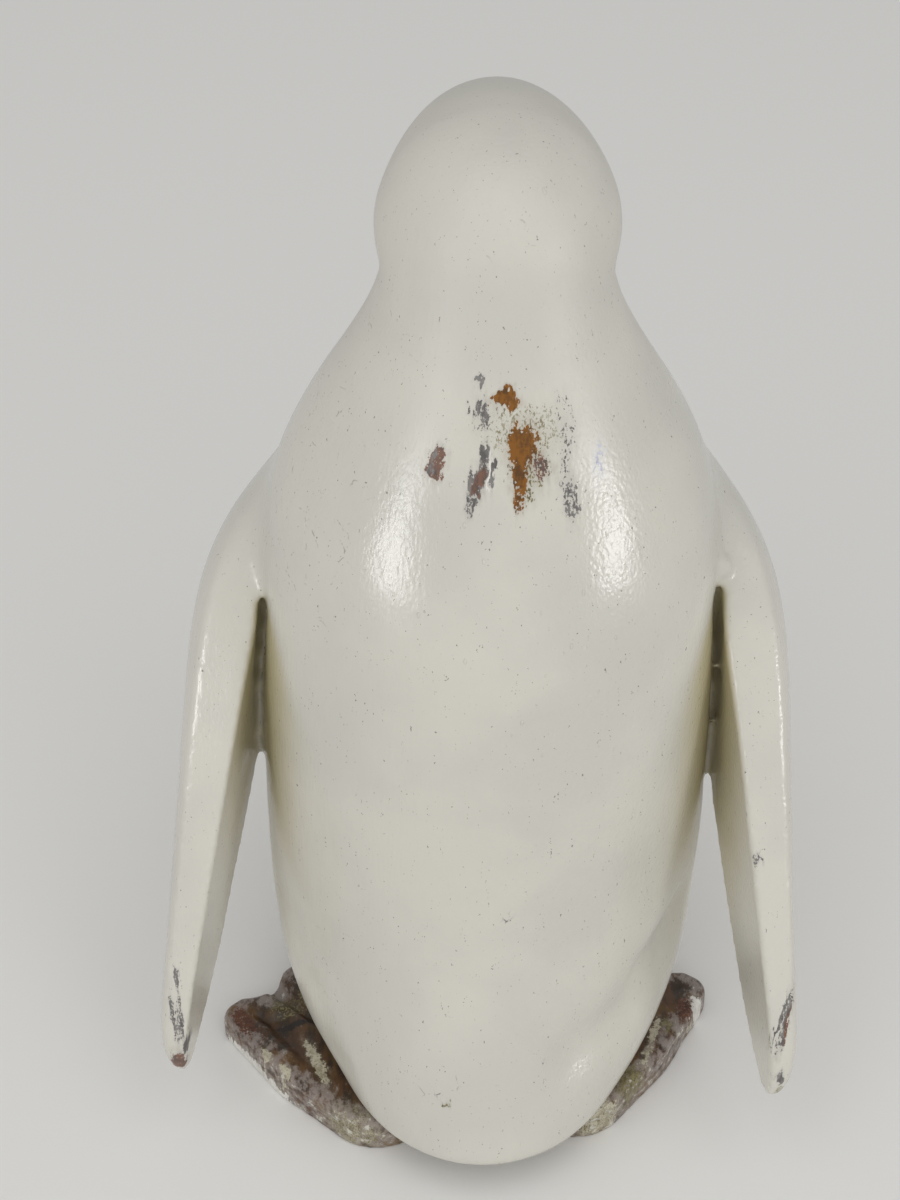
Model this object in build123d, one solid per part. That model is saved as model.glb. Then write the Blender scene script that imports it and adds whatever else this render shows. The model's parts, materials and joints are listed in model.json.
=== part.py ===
"""Standing penguin carved from wood: separate carved pieces, glued up on hidden dowels.

The figure faces -Y and its tail points to +Y. Its own left side is +X. Millimetres, +Z up.
The origin is on the floor, under the middle of the finished figure.
"""

import math
import os
from dataclasses import dataclass

from build123d import *
from build123d.topology import SkipClean

# Torso: one carved block with the neck and the tail on it
TORSO_HEIGHT = 247.0  # flat underside to the middle of the neck joint
TORSO_WIDTH = 118.5  # at the widest, below the shoulders
BACK_DEPTH = 53.0  # middle line to the fullest part of the back
BELLY_DEPTH = 58.0  # middle line to the fullest part of the belly
TAIL_LENGTH = 35.0  # how far the tail stands out behind the underside
TAIL_RISE = 96.0  # height above the underside where the tail starts to flare out
TAIL_CURVE = 2.2  # how sharply the flare sweeps out, 1 for a straight slope
UNDERSIDE_ROUND = 4.0  # round along the edge of the flat underside

# Neck joint: a flat saw cut that leans forward
NECK_TILT = 24.0  # degrees from level, lower at the throat
NECK_FORWARD = 4.0  # middle line to the middle of the joint

# Head: an egg with its narrow end at the face
HEAD_WIDTH = 57.0
HEAD_BACK = 29.5  # widest ring to the back of the head
HEAD_FRONT = 54.5  # widest ring to the face
HEAD_SINK = 10.0  # neck joint to the axis of the egg
HEAD_DROOP = 8.0  # degrees that the face looks down
HEAD_CHEEK_FULLNESS = 0.03  # how far the full width runs on to the front, a share of HEAD_FRONT
HEAD_FACE_FULLNESS = 0.83  # how blunt the face is, a share of the half width

# Beak: a hooked cone with a flat root on a flat spot of the face, held by its own round tenon
BEAK_LENGTH = 28.0
BEAK_WIDTH = 15.0
BEAK_HEIGHT = 17.0
BEAK_TIP = 4.0  # width of the blunt tip
BEAK_TIP_ROUND = 1.0
BEAK_HOOK = 5.0  # how far the tip curls below the line of the beak
BEAK_DROOP = 18.0  # degrees between the line of the beak and the line of the head
BEAK_SEAT_DEPTH = 2.0  # how deep the flat spot is cut into the face
BEAK_TENON_DIAMETER = 8.0
BEAK_TENON_LENGTH = 12.0

# Eyes: round beads, sunk about two thirds into the head
EYE_DIAMETER = 6.5
EYE_FORWARD = 32.0  # widest ring of the head to the eye, along the egg
EYE_RAISE = 5.0  # degrees above the side of the head
EYE_PROUD = 2.0  # how far a bead stands out of the head

# Flippers: tapered boards with a flat inner face, let into the shoulders
FLIPPER_LENGTH = 188.0
FLIPPER_WIDTH = 42.0
FLIPPER_THICKNESS = 19.0
FLIPPER_REAR_EDGE = 0.68  # height of the square rear edge, a share of the thickness
FLIPPER_FRONT_EDGE = 0.45  # height of the square front edge, a share of the thickness
FLIPPER_ABOVE_SEAT = 32.0  # top of the board to the middle of the seat
SEAT_HEIGHT = 155.0  # torso underside to the middle of the seat
SEAT_DEPTH = 5.0  # how deep the flipper is let into the shoulder
SEAT_TURN = 13.0  # degrees that the seat faces forward

# Feet: webbed, turned out
FOOT_THICKNESS = 12.0
FOOT_LENGTH = 68.0
HEEL_WIDTH = 34.0
INSTEP_WIDTH = 49.0  # across the full sides of the foot, between the heel and the toes
INSTEP_ALONG = 38.0  # back of the heel to the middle of the instep
TOE_SPREAD = 44.0  # between the middles of the outer and the inner toe tip
TOE_WIDTH = 12.0
TOE_SETBACK = 5.0  # how far the side toes end behind the middle toe
TOE_THICKNESS = 7.0
ANKLE_LENGTH = 34.0  # back of the heel to where the foot starts to thin towards the toes
WEB_NOTCH = 3.5  # depth of the scallop between two toes
WEB_NOTCH_RADIUS = 10.0
WEB_GROOVE = 3.5  # depth of the groove between two toes, at the front edge
WEB_GROOVE_START = 0.9  # depth of the groove at the ankle
WEB_GROOVE_PITCH = 7.0  # between the two grooves of a foot, at the ankle
FOOT_ROUND = 2.0  # round along the upper edge
HEEL_OFFSET = 20.5  # middle line of the figure to the back of each heel, sideways
LEFT_HEEL_BACK = 54.0  # middle line of the figure to the back of the left heel, to the rear
RIGHT_HEEL_BACK = 51.0

# Dowels, and the clearances of a glued joint
NECK_DOWEL_DIAMETER = 12.0
NECK_DOWEL_LENGTH = 44.0
FLIPPER_DOWEL_DIAMETER = 6.0
FLIPPER_DOWEL_LENGTH = 26.0
FLIPPER_DOWEL_PITCH = 18.0
FLIPPER_DOWEL_BITE = 7.0  # length of a dowel inside the flipper
FOOT_DOWEL_DIAMETER = 8.0
FOOT_DOWEL_LENGTH = 30.0
FOOT_DOWEL_PITCH = 16.0  # the two dowels of a foot stand one behind the other
FOOT_DOWEL_BITE = 6.0  # length of a dowel inside the foot
FOOT_DOWEL_INSET = 18.0  # back of the heel to the rear dowel
FOOT_DOWEL_OFFSET = 3.5  # how much further out the dowels stand than the back of the heel
DOWEL_CHAMFER = 0.8
DOWEL_CLEARANCE = 0.1  # radial, for glue
DOWEL_END_GAP = 1.0  # glue space past the end of a dowel
GLUE_LINE = 0.15  # between two glued faces

CUTTER_SIZE = 900.0  # a cutting block's edge, larger than the whole figure
UNDERSIDE = FOOT_THICKNESS + GLUE_LINE  # height of the torso's flat underside


@dataclass(frozen=True)
class Side:
    """One side of the figure. The two sides were carved by eye, so they differ a little."""

    name: str
    mirrored: bool
    splay: float  # degrees that the flipper leans out towards its tip
    sweep: float  # degrees that the flipper points back
    turnout: float  # degrees that the foot points outwards
    heel_back: float  # middle line of the figure to the back of the heel, to the rear

    def on_this_side(self, shape: Part) -> Part:
        """A shape that was made for the left, taken over to this side."""
        return mirror(shape, about=Plane.YZ) if self.mirrored else shape


SIDES = (
    Side("left", mirrored=False, splay=6.1, sweep=22.5, turnout=30.0, heel_back=LEFT_HEEL_BACK),
    Side("right", mirrored=True, splay=3.9, sweep=26.0, turnout=19.0, heel_back=RIGHT_HEEL_BACK),
)

# Carving stations of the torso, each a share of the height, the width, the back and the belly.
# The last one is above the neck joint, where the saw cut takes it off.
TORSO_STATIONS = (
    (0.00, 0.77, 0.72, 0.66),
    (0.05, 0.89, 0.82, 0.78),
    (0.14, 0.98, 0.93, 0.90),
    (0.29, 1.00, 0.99, 0.99),
    (0.46, 1.00, 1.00, 1.00),
    (0.62, 0.98, 0.96, 0.93),
    (0.76, 0.915, 0.84, 0.80),
    (0.86, 0.735, 0.66, 0.66),
    (0.94, 0.55, 0.54, 0.55),
    (1.00, 0.46, 0.45, 0.48),
    (1.12, 0.37, 0.29, 0.42),
)

# Stations along the beak, each a share of its length, of its taper and of its hook
BEAK_STATIONS = ((0.0, 0.0, 0.0), (0.4, 0.30, 0.08), (0.75, 0.65, 0.42), (1.0, 1.0, 1.0))

# Stations along a flipper, each a share of its length, its width and its thickness, and the share
# of its width that lies behind its middle line there.
FLIPPER_STATIONS = (
    (0.00, 0.28, 0.22, 0.62),
    (0.04, 0.58, 0.38, 0.62),
    (0.12, 0.84, 0.74, 0.62),
    (0.26, 1.00, 1.00, 0.62),
    (0.55, 0.98, 0.78, 0.62),
    (0.82, 0.76, 0.56, 0.66),
    (0.97, 0.34, 0.36, 0.86),
    (1.00, 0.14, 0.22, 1.25),
)


def beyond(plane: Plane) -> Part:
    """A block that fills the space on the positive side of a plane."""
    return plane * Pos(0, 0, CUTTER_SIZE / 2) * Box(CUTTER_SIZE, CUTTER_SIZE, CUTTER_SIZE)


def skin_point(solid: Part, inside: Vector, out: Vector) -> Vector:
    """Where a straight line from a point inside a solid comes out of it."""
    return (solid & Edge.make_line(inside, inside + out * CUTTER_SIZE)).edges()[0] @ 1


def dowel(diameter: float, length: float) -> Part:
    """A plain dowel along Z, centred, with chamfered ends."""
    pin = Cylinder(diameter / 2, length)
    return chamfer(pin.edges().filter_by(GeomType.CIRCLE), DOWEL_CHAMFER)


def dowel_hole(diameter: float, length: float) -> Part:
    """The drilled hole for a dowel, with room for glue around it and past its ends."""
    return Cylinder(diameter / 2 + DOWEL_CLEARANCE, length + 2 * DOWEL_END_GAP)


def dowels_and_holes(places: list[Location], diameter: float, length: float) -> tuple[list, list]:
    """The dowels of one joint, and the holes drilled for them."""
    pins = [place * dowel(diameter, length) for place in places]
    holes = [place * dowel_hole(diameter, length) for place in places]
    return pins, holes


def oval(height: float, half_width: float, back: float, belly: float) -> Face:
    """A level slice of the torso: two quarter ellipses for the back and two for the belly."""
    quarters = ((back, 0), (back, 90), (belly, 180), (belly, 270))
    arcs = [EllipticalCenterArc((0, 0), half_width, depth, start) for depth, start in quarters]
    return Pos(0, 0, height) * make_face(arcs)


def torso_blank() -> Part:
    """The torso before its joints are cut, standing on the feet."""
    slices = []
    for height_share, width_share, back_share, belly_share in TORSO_STATIONS:
        height = height_share * TORSO_HEIGHT
        flare = TAIL_LENGTH * max(0.0, 1 - height / TAIL_RISE) ** TAIL_CURVE
        back = back_share * BACK_DEPTH + flare
        slices.append(oval(height, width_share * TORSO_WIDTH / 2, back, belly_share * BELLY_DEPTH))
    blank = loft(slices)
    rim = blank.edges().group_by(Axis.Z)[0]
    return Pos(0, 0, UNDERSIDE) * fillet(rim, UNDERSIDE_ROUND)


def neck_plane() -> Plane:
    """The saw cut between the torso and the head, facing up the neck."""
    tilt = math.radians(NECK_TILT)
    middle = (0, -NECK_FORWARD, UNDERSIDE + TORSO_HEIGHT)
    return Plane(middle, x_dir=(1, 0, 0), z_dir=(0, -math.sin(tilt), math.cos(tilt)))


def head_plane() -> Plane:
    """The frame of the head: x along the egg to the face, y to the figure's left, z to the crown."""
    droop = math.radians(HEAD_DROOP)
    centre = neck_plane().origin + neck_plane().z_dir * HEAD_SINK
    face_dir = (0, -math.cos(droop), -math.sin(droop))
    crown_dir = (0, -math.sin(droop), math.cos(droop))
    return Plane(centre, x_dir=face_dir, z_dir=crown_dir)


def head_blank() -> Part:
    """The egg of the head, turned about its long axis in two halves that meet at the middle."""
    radius = HEAD_WIDTH / 2
    crown, face, nape = (0, radius), (HEAD_FRONT, 0), (-HEAD_BACK, 0)
    cheek = (HEAD_FRONT * HEAD_CHEEK_FULLNESS, radius)
    brow = (HEAD_FRONT, radius * HEAD_FACE_FULLNESS)
    rear = EllipticalCenterArc((0, 0), HEAD_BACK, radius, 90)
    profile = make_face([rear, Bezier(crown, cheek, brow, face), Line(face, nape)])
    halves = [Rot(turn, 0, 0) * revolve(profile, Axis.X, revolution_arc=180) for turn in (-90, 90)]
    return head_plane() * (halves[0] + halves[1])


def beak_plane(head: Part) -> Plane:
    """The flat spot for the beak: x to the figure's left, y up, z along the beak."""
    droop = math.radians(HEAD_DROOP + BEAK_DROOP)
    out = Vector(0, -math.cos(droop), -math.sin(droop))
    inside = head_plane().origin + head_plane().x_dir * HEAD_FRONT / 2
    return Plane(skin_point(head, inside, out) - out * BEAK_SEAT_DEPTH, x_dir=(1, 0, 0), z_dir=out)


def beak_piece() -> Part:
    """The beak on its own seat plane, with its tenon."""
    slices = []
    for along, taper, hook in BEAK_STATIONS:
        width = BEAK_WIDTH + (BEAK_TIP - BEAK_WIDTH) * taper
        height = BEAK_HEIGHT + (BEAK_TIP - BEAK_HEIGHT) * taper
        slices.append(Pos(0, -hook * BEAK_HOOK, along * BEAK_LENGTH) * Ellipse(width / 2, height / 2))
    cone = loft(slices)
    cone = fillet(cone.edges().group_by(Axis.Z)[-1], BEAK_TIP_ROUND)
    tenon = Pos(0, 0, -BEAK_TENON_LENGTH / 2) * Cylinder(BEAK_TENON_DIAMETER / 2, BEAK_TENON_LENGTH)
    return Pos(0, 0, GLUE_LINE) * (cone + tenon)


def eye_place(head: Part) -> Vector:
    """The middle of the left eye."""
    raise_angle = math.radians(EYE_RAISE)
    frame = head_plane()
    out = frame.y_dir * math.cos(raise_angle) + frame.z_dir * math.sin(raise_angle)
    skin = skin_point(head, frame.origin + frame.x_dir * EYE_FORWARD, out)
    return skin - out * (EYE_DIAMETER / 2 - EYE_PROUD)


def flipper_plane(side: Side, torso: Part) -> Plane:
    """The seat of a left flipper: x to its rear edge, y up the flipper, z out of the shoulder."""
    turn, splay, sweep = (math.radians(angle) for angle in (SEAT_TURN, side.splay, side.sweep))
    level_out = Vector(math.cos(turn), -math.sin(turn), 0)
    level_back = Vector(math.sin(turn), math.cos(turn), 0)
    out = level_out * math.cos(splay) + Vector(0, 0, math.sin(splay))
    rear = level_back * math.cos(sweep) + out.cross(level_back) * math.sin(sweep)
    skin = skin_point(torso, Vector(0, 0, UNDERSIDE + SEAT_HEIGHT), level_out)
    return Plane(skin - out * SEAT_DEPTH, x_dir=rear, z_dir=out)


def flipper_slice(front: float, rear: float, thickness: float) -> Face:
    """A slice across a flipper: flat inside, square edges, a crowned outside, thinner in front."""
    rear_top = (rear, FLIPPER_REAR_EDGE * thickness)
    front_top = (front, FLIPPER_FRONT_EDGE * thickness)
    crown = ThreePointArc(rear_top, ((rear + front) / 2, thickness), front_top)
    return make_face([crown, Polyline(front_top, (front, 0), (rear, 0), rear_top)])


def housing_slice(front: float, rear: float) -> Face:
    """A slice across the recess that a flipper is let into, with room for glue at its edges."""
    corners = [(front - GLUE_LINE, 0), (rear + GLUE_LINE, 0)]
    corners += [(rear + GLUE_LINE, FLIPPER_THICKNESS), (front - GLUE_LINE, FLIPPER_THICKNESS)]
    return make_face(Polyline(*corners, close=True))


def flipper_and_housing() -> tuple[Part, Part]:
    """A flipper on its own seat plane, with its tip along -Y, and the recess for it."""
    flipper, housing = [], []
    for along_share, width_share, thickness_share, rear_share in FLIPPER_STATIONS:
        along = FLIPPER_ABOVE_SEAT - along_share * FLIPPER_LENGTH
        across = Plane((0, along, 0), x_dir=(1, 0, 0), z_dir=(0, -1, 0))
        rear = width_share * FLIPPER_WIDTH * rear_share
        front = rear - width_share * FLIPPER_WIDTH
        flipper.append(across * flipper_slice(front, rear, thickness_share * FLIPPER_THICKNESS))
        housing.append(across * housing_slice(front, rear))
    return Pos(0, 0, GLUE_LINE) * loft(flipper), loft(housing)


def flipper_dowel_places() -> list[Location]:
    """The middles of a flipper's dowels on its own seat plane."""
    sunk = FLIPPER_DOWEL_BITE - FLIPPER_DOWEL_LENGTH / 2
    return [Pos(0, step * FLIPPER_DOWEL_PITCH / 2, sunk) for step in (-1, 1)]


def foot_outline() -> Sketch:
    """The sole: a round heel and full sides that fan out to three toes, scalloped between them."""
    heel = Pos(0, HEEL_WIDTH / 2) * Circle(HEEL_WIDTH / 2)
    instep = Pos(0, INSTEP_ALONG) * Circle(INSTEP_WIDTH / 2)
    row = FOOT_LENGTH - TOE_WIDTH / 2
    tips = [Vector(side * TOE_SPREAD / 2, row - abs(side) * TOE_SETBACK) for side in (-1, 0, 1)]
    toes = [Pos(*tip) * Circle(TOE_WIDTH / 2) for tip in tips]
    outline = make_hull([edge for shape in (heel, instep, *toes) for edge in shape.edges()])
    for inner, outer in zip(tips, tips[1:]):
        ahead = Vector(0, 0, 1).cross(outer - inner).normalized()
        reach = TOE_WIDTH / 2 - WEB_NOTCH + WEB_NOTCH_RADIUS
        outline -= Pos(*((inner + outer) / 2 + ahead * reach)) * Circle(WEB_NOTCH_RADIUS)
    return outline


def web_groove(side: int) -> Part:
    """The groove between the middle toe and a side toe, widening from the ankle to the front edge."""
    between_toes = TOE_SPREAD / 4
    start = Vector(side * WEB_GROOVE_PITCH / 2, ANKLE_LENGTH, FOOT_THICKNESS)
    end = Vector(side * between_toes, FOOT_LENGTH, TOE_THICKNESS)
    length = (end - start).length
    cone = Pos(0, 0, length / 2) * Cone(WEB_GROOVE_START, WEB_GROOVE, length)
    return Plane(start, z_dir=end - start) * cone


def foot_blank() -> Part:
    """A foot with the back of its heel at the origin and its toes along +Y."""
    foot = extrude(foot_outline(), FOOT_THICKNESS)
    fall = math.atan2(FOOT_THICKNESS - TOE_THICKNESS, FOOT_LENGTH - ANKLE_LENGTH)
    slope_dir = (0, math.sin(fall), math.cos(fall))
    foot -= beyond(Plane((0, ANKLE_LENGTH, FOOT_THICKNESS), x_dir=(1, 0, 0), z_dir=slope_dir))
    upper = foot.edges().filter_by(lambda edge: edge.center().Z > TOE_THICKNESS - FOOT_ROUND / 2)
    foot = fillet(upper, FOOT_ROUND)
    return foot - web_groove(-1) - web_groove(1)


def foot_place(side: Side) -> Location:
    """Where a left foot's own frame lies: back of the heel at its origin, toes along its +Y."""
    return Pos(HEEL_OFFSET, side.heel_back, 0) * Rot(0, 0, 180 + side.turnout)


def foot_dowel_places(side: Side) -> list[Location]:
    """The middles of a left foot's dowels, one behind the other."""
    across = HEEL_OFFSET + FOOT_DOWEL_OFFSET
    rear = side.heel_back - FOOT_DOWEL_INSET
    height = FOOT_THICKNESS - FOOT_DOWEL_BITE + FOOT_DOWEL_LENGTH / 2
    return [Pos(across, rear - step * FOOT_DOWEL_PITCH, height) for step in (0, 1)]


def neck_parts(torso: Part) -> dict[str, Part]:
    """The torso and the head, cut and drilled at the neck, with the dowel, the beak and the eyes."""
    neck = neck_plane()
    hole = neck * dowel_hole(NECK_DOWEL_DIAMETER, NECK_DOWEL_LENGTH)
    with SkipClean():
        egg = head_blank()
        seat = beak_plane(egg)
        head = split(egg, bisect_by=neck.offset(GLUE_LINE), keep=Keep.TOP) - hole - beyond(seat)
        tenon_hole = dowel_hole(BEAK_TENON_DIAMETER, 2 * BEAK_TENON_LENGTH)
        head -= seat * tenon_hole
        parts = {}
        bead_place = Pos(*eye_place(egg)) * Rot(0, 0, 180)  # the seam of the sphere faces inwards
        for side in SIDES:
            eye = bead_place * Sphere(EYE_DIAMETER / 2)
            socket = bead_place * Sphere(EYE_DIAMETER / 2 + DOWEL_CLEARANCE)
            head -= side.on_this_side(socket)
            parts[f"{side.name}_eye"] = side.on_this_side(eye)
    parts["body"] = torso - beyond(neck) - hole
    parts["head"] = head
    parts["beak"] = seat * beak_piece()
    parts["neck_dowel"] = neck * dowel(NECK_DOWEL_DIAMETER, NECK_DOWEL_LENGTH)
    return parts


def add_flipper(parts: dict[str, Part], side: Side, torso: Part) -> None:
    """Adds the flipper of one side with its dowels, and lets it into the shoulder."""
    seat = flipper_plane(side, torso)
    pins, holes = dowels_and_holes(flipper_dowel_places(), FLIPPER_DOWEL_DIAMETER, FLIPPER_DOWEL_LENGTH)
    flipper, housing = flipper_and_housing()
    parts["body"] -= [side.on_this_side(seat * cut) for cut in (housing, *holes)]
    parts[f"{side.name}_flipper"] = side.on_this_side(seat * (flipper - holes))
    parts[f"{side.name}_flipper_dowels"] = Compound([side.on_this_side(seat * pin) for pin in pins])


def add_foot(parts: dict[str, Part], side: Side) -> None:
    """Adds the foot of one side with its dowels, and drills the torso for them."""
    pins, holes = dowels_and_holes(foot_dowel_places(side), FOOT_DOWEL_DIAMETER, FOOT_DOWEL_LENGTH)
    parts["body"] -= [side.on_this_side(hole) for hole in holes]
    parts[f"{side.name}_foot"] = side.on_this_side(foot_place(side) * foot_blank() - holes)
    parts[f"{side.name}_foot_dowels"] = Compound([side.on_this_side(pin) for pin in pins])


def main() -> None:
    """Builds every piece and writes one STEP file for each."""
    torso = torso_blank()
    parts = neck_parts(torso)
    for side in SIDES:
        add_flipper(parts, side, torso)
        add_foot(parts, side)
    whole = Compound(list(parts.values())).bounding_box()
    centred = Pos(-whole.center().X, -whole.center().Y, -whole.min.Z)
    os.makedirs("parts", exist_ok=True)
    for name, shape in parts.items():
        export_step(centred * shape, f"parts/{name}.step")


main()
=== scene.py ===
"""Looks of a carved wooden penguin: brushed cream paint over glued-up pieces, on rubbed brown feet.

Everything is in metres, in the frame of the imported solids: +Z is up, the face looks to -Y and the
figure's own left is +X. The camera stands behind the figure and looks down on its back.
"""

import json
import logging
import math
from collections.abc import Mapping, Sequence
from dataclasses import dataclass, field
from enum import Enum
from typing import Any

import bmesh
import bpy
import numpy as np
from mathutils import Euler, Matrix, Vector
from mathutils.bvhtree import BVHTree

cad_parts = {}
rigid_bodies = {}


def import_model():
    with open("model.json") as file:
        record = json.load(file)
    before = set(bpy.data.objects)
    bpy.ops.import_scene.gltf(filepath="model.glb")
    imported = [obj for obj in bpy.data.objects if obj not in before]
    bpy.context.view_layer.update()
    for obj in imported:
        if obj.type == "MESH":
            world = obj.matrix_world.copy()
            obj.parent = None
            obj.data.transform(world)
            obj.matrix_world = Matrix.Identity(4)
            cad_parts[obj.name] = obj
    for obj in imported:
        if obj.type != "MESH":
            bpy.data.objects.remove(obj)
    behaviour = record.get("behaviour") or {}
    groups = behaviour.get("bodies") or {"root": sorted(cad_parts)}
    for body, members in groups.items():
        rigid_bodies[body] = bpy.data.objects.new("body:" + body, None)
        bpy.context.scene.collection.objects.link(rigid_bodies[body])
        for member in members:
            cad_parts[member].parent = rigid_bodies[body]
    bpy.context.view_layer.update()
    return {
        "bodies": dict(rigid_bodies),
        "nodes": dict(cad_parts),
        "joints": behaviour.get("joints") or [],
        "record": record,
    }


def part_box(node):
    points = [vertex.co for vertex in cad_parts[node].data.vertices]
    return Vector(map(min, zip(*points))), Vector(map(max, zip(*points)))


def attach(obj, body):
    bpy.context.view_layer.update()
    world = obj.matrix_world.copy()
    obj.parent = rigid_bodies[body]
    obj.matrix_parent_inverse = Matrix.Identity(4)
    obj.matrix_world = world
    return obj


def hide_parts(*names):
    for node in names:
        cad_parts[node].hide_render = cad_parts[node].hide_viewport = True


Colour = tuple[float, float, float, float]
Triple = tuple[float, float, float]
Feed = bpy.types.NodeSocket | float | Sequence[float]

MM = 0.001
BODY = "root"

log = logging.getLogger("penguin")


def shade(red: int, green: int, blue: int) -> Colour:
    """Turns a colour as it looks on a screen, 0 to 255, into the linear colour of a shader.

    Args:
        red: Red, 0 to 255.
        green: Green, 0 to 255.
        blue: Blue, 0 to 255.

    Returns:
        The linear colour with full alpha.
    """
    parts = [value / 255 for value in (red, green, blue)]
    linear = [v / 12.92 if v <= 0.04045 else ((v + 0.055) / 1.055) ** 2.4 for v in parts]
    return linear[0], linear[1], linear[2], 1.0


def smoothstep(low: float, high: float, values: np.ndarray) -> np.ndarray:
    """Eases values from 0 at one limit to 1 at the other.

    Args:
        low: The value that gives 0.
        high: The value that gives 1. It may be below low.
        values: Any array of numbers.

    Returns:
        An array of the same shape, between 0 and 1.
    """
    share = np.clip((values - low) / (high - low), 0.0, 1.0)
    return share * share * (3 - 2 * share)


class Graph:
    """A node tree under construction, with short calls for the nodes that the finishes share."""

    def __init__(self, tree: bpy.types.NodeTree) -> None:
        """Takes the tree that the calls add to."""
        self.tree = tree

    def feed(self, socket: bpy.types.NodeSocket, value: Feed) -> None:
        """Links a socket to an input, or sets the input's own value.

        Args:
            socket: The input.
            value: An output socket to link, or a plain value.
        """
        if isinstance(value, bpy.types.NodeSocket):
            self.tree.links.new(value, socket)
        else:
            socket.default_value = value

    def add(
        self, kind: str, feeds: Mapping[str | int, Feed] | None = None, **settings: Any
    ) -> bpy.types.Node:
        """Adds a node.

        Args:
            kind: The node's type name.
            feeds: Inputs by name or place, each a socket or a value.
            **settings: Attributes of the node itself.

        Returns:
            The new node.
        """
        node = self.tree.nodes.new(kind)
        for name, value in settings.items():
            setattr(node, name, value)
        for key, value in (feeds or {}).items():
            self.feed(node.inputs[key], value)
        return node

    def calc(self, operation: str, *values: Feed) -> bpy.types.NodeSocket:
        """Adds a Math node and returns its result."""
        return self.add("ShaderNodeMath", dict(enumerate(values)), operation=operation).outputs[0]

    def vector(self, operation: str, *values: Feed) -> bpy.types.Node:
        """Adds a Vector Math node and returns the node itself."""
        return self.add("ShaderNodeVectorMath", dict(enumerate(values)), operation=operation)

    def ramp(self, value: Feed, low: float, high: float) -> bpy.types.NodeSocket:
        """Eases a value from 0 at one limit to 1 at the other.

        Args:
            value: The value to ease.
            low: Where the result is 0.
            high: Where the result is 1. It may be below low.

        Returns:
            The eased value.
        """
        feeds = {"Value": value, "From Min": low, "From Max": high}
        node = self.add("ShaderNodeMapRange", feeds, interpolation_type="SMOOTHSTEP")
        return node.outputs[0]

    def mix(self, factor: Feed, first: Feed, second: Feed) -> bpy.types.NodeSocket:
        """Mixes two colours.

        Args:
            factor: The share of the second colour.
            first: The colour at 0.
            second: The colour at 1.

        Returns:
            The mixed colour.
        """
        node = self.add("ShaderNodeMix", data_type="RGBA")
        for place, value in ((0, factor), (6, first), (7, second)):
            self.feed(node.inputs[place], value)
        return node.outputs[2]

    def object_place(self) -> bpy.types.NodeSocket:
        """The place on the object, in metres."""
        return self.add("ShaderNodeTexCoord").outputs["Object"]

    def stretched(self, place: Feed, scale: Triple, turn: Triple = (0, 0, 0)) -> bpy.types.NodeSocket:
        """Scales and turns a place.

        Args:
            place: The place to start from.
            scale: Scale along each axis.
            turn: Turn about each axis, in degrees.

        Returns:
            The changed place.
        """
        angles = tuple(math.radians(angle) for angle in turn)
        return self.add("ShaderNodeMapping", {0: place, "Rotation": angles, "Scale": scale}).outputs[0]

    def noise(
        self, place: Feed, scale: float, detail: float = 2.0, roughness: float = 0.5
    ) -> bpy.types.NodeSocket:
        """Adds a noise texture.

        Args:
            place: Where it is read.
            scale: Waves in one unit of the place.
            detail: Number of finer layers.
            roughness: Strength of the finer layers.

        Returns:
            The noise, about 0 to 1.
        """
        feeds = {"Vector": place, "Scale": scale, "Detail": detail, "Roughness": roughness}
        return self.add("ShaderNodeTexNoise", feeds).outputs[0]

    def cells(self, place: Feed, scale: float, feature: str) -> bpy.types.Node:
        """Adds a Voronoi texture and returns the node itself."""
        return self.add("ShaderNodeTexVoronoi", {"Vector": place, "Scale": scale}, feature=feature)

    def bump(self, height: Feed, distance: float, under: Feed | None = None) -> bpy.types.NodeSocket:
        """Adds a bump.

        Args:
            height: The height, 0 to 1.
            distance: The real height of 1, in metres.
            under: A normal that this bump goes on top of.

        Returns:
            The normal.
        """
        feeds = {"Height": height, "Distance": distance}
        if under is not None:
            feeds["Normal"] = under
        return self.add("ShaderNodeBump", feeds).outputs[0]


class Layer(Enum):
    """What shows where paint is thin, gone or left over, and one painted shadow: its main tone and its
    darker streaks.
    """

    WOOD = (shade(132, 82, 8), shade(90, 55, 6))
    STAINED_WOOD = (shade(122, 88, 72), shade(90, 74, 68))
    UNDERCOAT = (shade(130, 127, 124), shade(92, 89, 87))
    THIN_PAINT = (shade(172, 168, 148), shade(138, 131, 104))
    LILAC_PAINT = (shade(202, 202, 214), shade(188, 187, 204))
    FRESH_PAINT = (shade(226, 224, 218), shade(212, 209, 202))
    LAST_CREAM = (shade(192, 186, 166), shade(152, 144, 120))
    OLIVE_FILM = (shade(132, 124, 86), shade(98, 88, 56))
    RED_WOOD = (shade(98, 54, 28), shade(66, 38, 22))
    # painted shadow line along a groove in the foot's top
    GROOVE_SHADOW = (shade(40, 29, 19), shade(28, 21, 15))


@dataclass(frozen=True)
class Patch:
    """A place on the figure, as a soft-edged, tilted oval."""

    centre: Triple  # in millimetres
    half_size: Triple  # in millimetres, along x, y and z
    lean: float = 0.0  # degrees, turned about the y axis
    layer: Layer = Layer.UNDERCOAT
    cover: float = 1.0  # share of the patch that is covered, in speckles; above 1.1 it has no gaps
    fray: float = 0.5  # how far the streaks run past the edge, as a share of the half size
    heading: float = 0.0  # degrees, turned about the z axis

    def distance(self, graph: Graph, place: bpy.types.NodeSocket) -> bpy.types.NodeSocket:
        """The distance from the patch's middle, 1 at its edge.

        Args:
            graph: The material's graph.
            place: The place on the object.

        Returns:
            The distance.
        """
        feeds = {
            0: place,
            "Location": tuple(value * MM for value in self.centre),
            "Rotation": (0.0, math.radians(self.lean), math.radians(self.heading)),
            "Scale": tuple(value * MM for value in self.half_size),
        }
        local = graph.add("ShaderNodeMapping", feeds, vector_type="TEXTURE").outputs[0]
        return graph.vector("LENGTH", local).outputs["Value"]


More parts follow.
